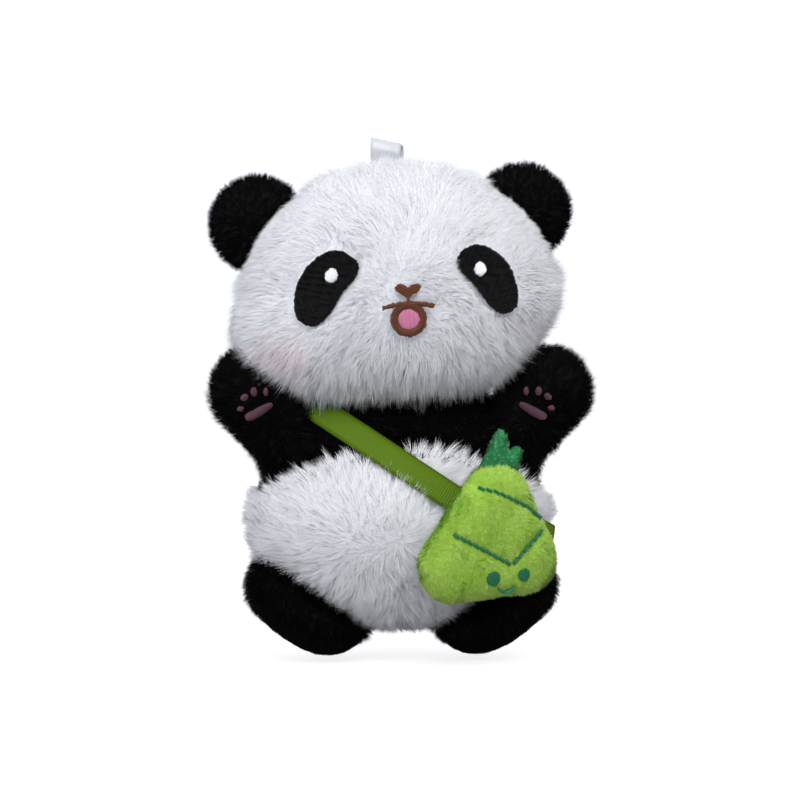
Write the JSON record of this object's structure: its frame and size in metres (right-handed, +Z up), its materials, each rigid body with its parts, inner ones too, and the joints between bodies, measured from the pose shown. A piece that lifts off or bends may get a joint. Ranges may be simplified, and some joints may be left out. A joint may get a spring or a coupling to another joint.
{
  "type": "plush panda charm",
  "caption": "Round soft panda with raised paws, stitched face, a ribbon loop on its crown and a small green pouch on a crossbody strap.",
  "frame": {"origin": "on the ground, under the middle of the whole toy with its pouch", "axes": "+Z up through the head, -Y out of the face, +X towards the panda's own left"},
  "size_m": [0.0912, 0.063, 0.1204],
  "materials": {
    "white_plush": "long soft pile",
    "black_plush": "short dense pile",
    "stuffing": "loose fibre fill",
    "black_thread": "satin-stitch embroidery",
    "white_thread": "satin-stitch embroidery",
    "brown_thread": "satin-stitch embroidery",
    "pink_thread": "satin-stitch embroidery",
    "mauve_thread": "satin-stitch embroidery",
    "green_ribbon": "ribbed grosgrain",
    "white_ribbon": "smooth satin",
    "lime_plush": "short crushed pile",
    "green_felt": "looped terry",
    "green_thread": "running stitch"
  },
  "bodies": {
    "torso": {"torso_stuffing": "stuffing", "belly_panel": "white_plush", "lower_back_panel": "white_plush", "chest_panel": "black_plush", "upper_back_panel": "black_plush", "shoulder_strap": "green_ribbon"},
    "neck": {"neck_stuffing": "stuffing"},
    "head": {"head_stuffing": "stuffing", "head_back_panel": "white_plush", "face_panel": "white_plush", "eye_patch_left": "black_thread", "eye_patch_right": "black_thread", "eye_glint_left": "white_thread", "eye_glint_right": "white_thread", "nose": "brown_thread", "mouth_outline": "brown_thread", "tongue": "pink_thread", "loop_tab": "white_ribbon"},
    "loop": {"hanging_loop": "white_ribbon"},
    "bag": {"bag_front": "lime_plush", "bag_back": "lime_plush", "bag_stuffing": "stuffing", "bag_leaf": "green_felt", "bag_seam_stitches": "green_thread", "bag_eyes": "green_thread", "bag_smile": "green_thread"},
    "ear_left": {"ear_left_front": "black_plush", "ear_left_back": "black_plush", "ear_left_stuffing": "stuffing"},
    "arm_left": {"arm_left_front": "black_plush", "arm_left_back": "black_plush", "arm_left_stuffing": "stuffing", "paw_pads_left": "mauve_thread"},
    "leg_left": {"leg_left_front": "black_plush", "leg_left_back": "black_plush", "leg_left_stuffing": "stuffing"},
    "ear_right": {"ear_right_front": "black_plush", "ear_right_back": "black_plush", "ear_right_stuffing": "stuffing"},
    "arm_right": {"arm_right_front": "black_plush", "arm_right_back": "black_plush", "arm_right_stuffing": "stuffing", "paw_pads_right": "mauve_thread"},
    "leg_right": {"leg_right_front": "black_plush", "leg_right_back": "black_plush", "leg_right_stuffing": "stuffing"}
  },
  "joints": [
    {"name": "neck_turn", "type": "hinge", "parent": "torso", "child": "neck", "pos_m": [0, 0.0065, 0.0605], "axis": [0, 0, 1], "range_deg": [-15, 15]},
    {"name": "head_nod", "type": "hinge", "parent": "neck", "child": "head", "pos_m": [0, 0.0065, 0.0605], "axis": [1, 0, 0], "range_deg": [-6, 6]},
    {"name": "ear_left_flex", "type": "hinge", "parent": "head", "child": "ear_left", "pos_m": [0.02598, 0.0125, 0.10054], "axis": [0.6521, 0, -0.7581], "range_deg": [-12, 12]},
    {"name": "ear_right_flex", "type": "hinge", "parent": "head", "child": "ear_right", "pos_m": [-0.02896, 0.0125, 0.09795], "axis": [0.5779, 0, 0.8161], "range_deg": [-12, 12]},
    {"name": "loop_flip", "type": "hinge", "parent": "head", "child": "loop", "pos_m": [-0.0025, 0.0065, 0.1156], "axis": [1, 0, 0], "range_deg": [-35, 35]},
    {"name": "arm_left_raise", "type": "hinge", "parent": "torso", "child": "arm_left", "pos_m": [0.028, 0.004, 0.0495], "axis": [0, -1, 0], "range_deg": [-30, 2]},
    {"name": "arm_right_raise", "type": "hinge", "parent": "torso", "child": "arm_right", "pos_m": [-0.028, 0.004, 0.0495], "axis": [0, 1, 0], "range_deg": [-30, 2]},
    {"name": "leg_left_swing", "type": "hinge", "parent": "torso", "child": "leg_left", "pos_m": [0.0215, 0.005, 0.013], "axis": [1, 0, 0], "range_deg": [-10, 10]},
    {"name": "leg_right_swing", "type": "hinge", "parent": "torso", "child": "leg_right", "pos_m": [-0.0215, 0.005, 0.013], "axis": [1, 0, 0], "range_deg": [-10, 10]},
    {"name": "bag_lift", "type": "hinge", "parent": "torso", "child": "bag", "pos_m": [0.0158, -0.0159, 0.042], "axis": [0.9703, 0.2419, 0], "range_deg": [-30, 0]}
  ]
}
